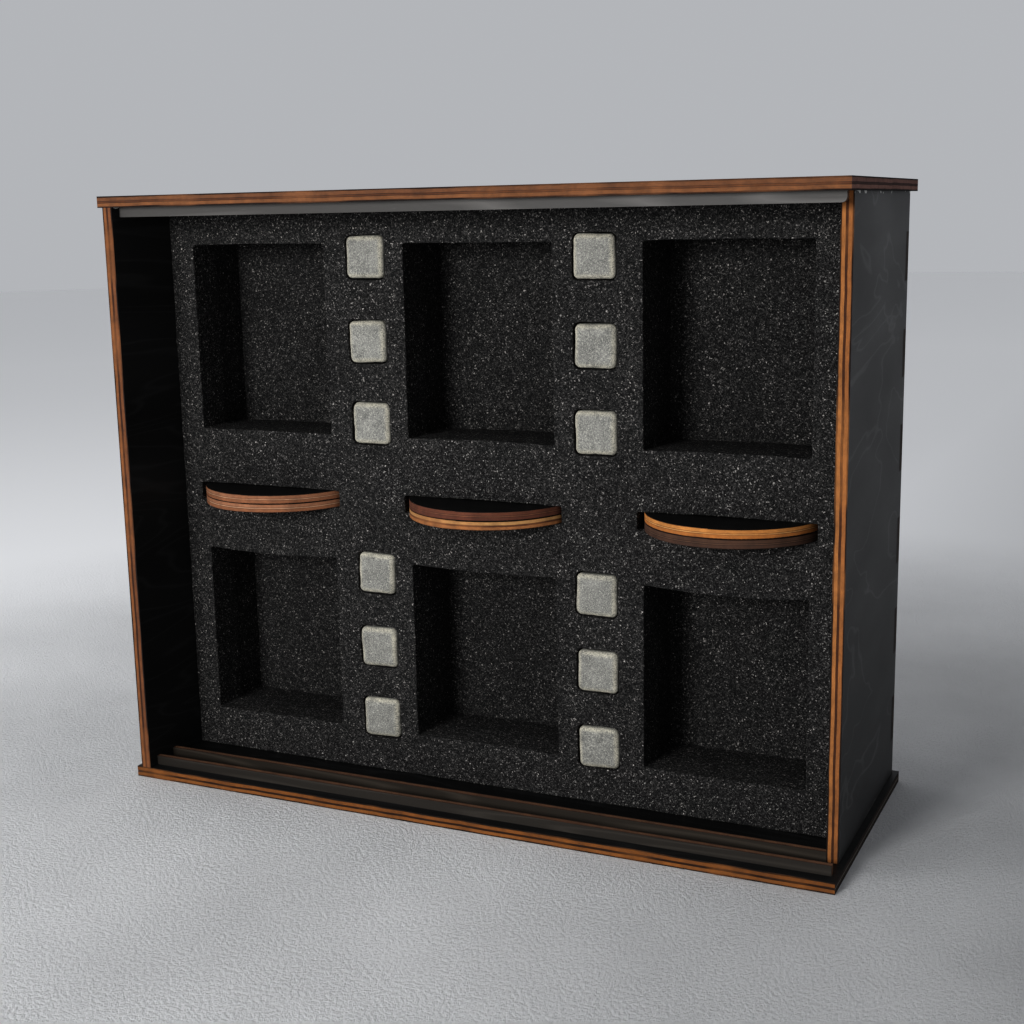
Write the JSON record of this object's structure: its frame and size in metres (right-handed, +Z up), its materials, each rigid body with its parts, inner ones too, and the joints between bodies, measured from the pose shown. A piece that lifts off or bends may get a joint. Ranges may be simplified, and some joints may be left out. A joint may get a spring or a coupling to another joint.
{
  "type": "foam-lined drinks case",
  "caption": "Open-fronted plywood case with a sliding-lid groove and a layered foam insert that holds glass pockets, stone cubes and round coasters.",
  "frame": {"origin": "middle of the underside of the bottom board", "axes": "+Z up, +X to the right along the width, -Y out of the open front"},
  "size_m": [0.37, 0.141, 0.3],
  "materials": {
    "stained_ply": "satin",
    "rail_ply": "satin",
    "foam": "matte",
    "stone": "matte",
    "coaster_ply": "satin"
  },
  "bodies": {
    "case": {"bottom_board": "stained_ply", "top_board": "stained_ply", "left_panel": "stained_ply", "right_panel": "stained_ply", "back_panel": "stained_ply", "bottom_front_rail": "rail_ply", "bottom_back_rail": "rail_ply", "top_front_rail": "rail_ply", "top_back_rail": "rail_ply", "foam_front_sheet": "foam", "foam_middle_sheet": "foam", "foam_deep_sheet": "foam", "foam_back_sheet": "foam"},
    "stone_01": {"stone_01": "stone"},
    "stone_02": {"stone_02": "stone"},
    "stone_03": {"stone_03": "stone"},
    "stone_04": {"stone_04": "stone"},
    "stone_05": {"stone_05": "stone"},
    "stone_06": {"stone_06": "stone"},
    "stone_07": {"stone_07": "stone"},
    "stone_08": {"stone_08": "stone"},
    "stone_09": {"stone_09": "stone"},
    "stone_10": {"stone_10": "stone"},
    "stone_11": {"stone_11": "stone"},
    "stone_12": {"stone_12": "stone"},
    "coaster_left_upper": {"coaster_left_upper": "coaster_ply"},
    "coaster_left_lower": {"coaster_left_lower": "coaster_ply"},
    "coaster_centre_upper": {"coaster_centre_upper": "coaster_ply"},
    "coaster_centre_lower": {"coaster_centre_lower": "coaster_ply"},
    "coaster_right_upper": {"coaster_right_upper": "coaster_ply"},
    "coaster_right_lower": {"coaster_right_lower": "coaster_ply"}
  },
  "joints": [
    {"name": "stone_01_pull", "type": "slide", "parent": "case", "child": "stone_01", "axis": [0, -1, 0], "range_m": [0, 0.08]},
    {"name": "stone_02_pull", "type": "slide", "parent": "case", "child": "stone_02", "axis": [0, -1, 0], "range_m": [0, 0.08]},
    {"name": "stone_03_pull", "type": "slide", "parent": "case", "child": "stone_03", "axis": [0, -1, 0], "range_m": [0, 0.08]},
    {"name": "stone_04_pull", "type": "slide", "parent": "case", "child": "stone_04", "axis": [0, -1, 0], "range_m": [0, 0.08]},
    {"name": "stone_05_pull", "type": "slide", "parent": "case", "child": "stone_05", "axis": [0, -1, 0], "range_m": [0, 0.08]},
    {"name": "stone_06_pull", "type": "slide", "parent": "case", "child": "stone_06", "axis": [0, -1, 0], "range_m": [0, 0.08]},
    {"name": "stone_07_pull", "type": "slide", "parent": "case", "child": "stone_07", "axis": [0, -1, 0], "range_m": [0, 0.08]},
    {"name": "stone_08_pull", "type": "slide", "parent": "case", "child": "stone_08", "axis": [0, -1, 0], "range_m": [0, 0.08]},
    {"name": "stone_09_pull", "type": "slide", "parent": "case", "child": "stone_09", "axis": [0, -1, 0], "range_m": [0, 0.08]},
    {"name": "stone_10_pull", "type": "slide", "parent": "case", "child": "stone_10", "axis": [0, -1, 0], "range_m": [0, 0.08]},
    {"name": "stone_11_pull", "type": "slide", "parent": "case", "child": "stone_11", "axis": [0, -1, 0], "range_m": [0, 0.08]},
    {"name": "stone_12_pull", "type": "slide", "parent": "case", "child": "stone_12", "axis": [0, -1, 0], "range_m": [0, 0.08]},
    {"name": "coaster_left_upper_pull", "type": "slide", "parent": "case", "child": "coaster_left_upper", "axis": [0, -1, 0], "range_m": [0, 0.12]},
    {"name": "coaster_left_lower_pull", "type": "slide", "parent": "case", "child": "coaster_left_lower", "axis": [0, -1, 0], "range_m": [0, 0.12]},
    {"name": "coaster_centre_upper_pull", "type": "slide", "parent": "case", "child": "coaster_centre_upper", "axis": [0, -1, 0], "range_m": [-0.002, 0.12]},
    {"name": "coaster_centre_lower_pull", "type": "slide", "parent": "case", "child": "coaster_centre_lower", "axis": [0, -1, 0], "range_m": [-0.002, 0.12]},
    {"name": "coaster_right_upper_pull", "type": "slide", "parent": "case", "child": "coaster_right_upper", "axis": [0, -1, 0], "range_m": [0, 0.12]},
    {"name": "coaster_right_lower_pull", "type": "slide", "parent": "case", "child": "coaster_right_lower", "axis": [0, -1, 0], "range_m": [0, 0.12]}
  ]
}
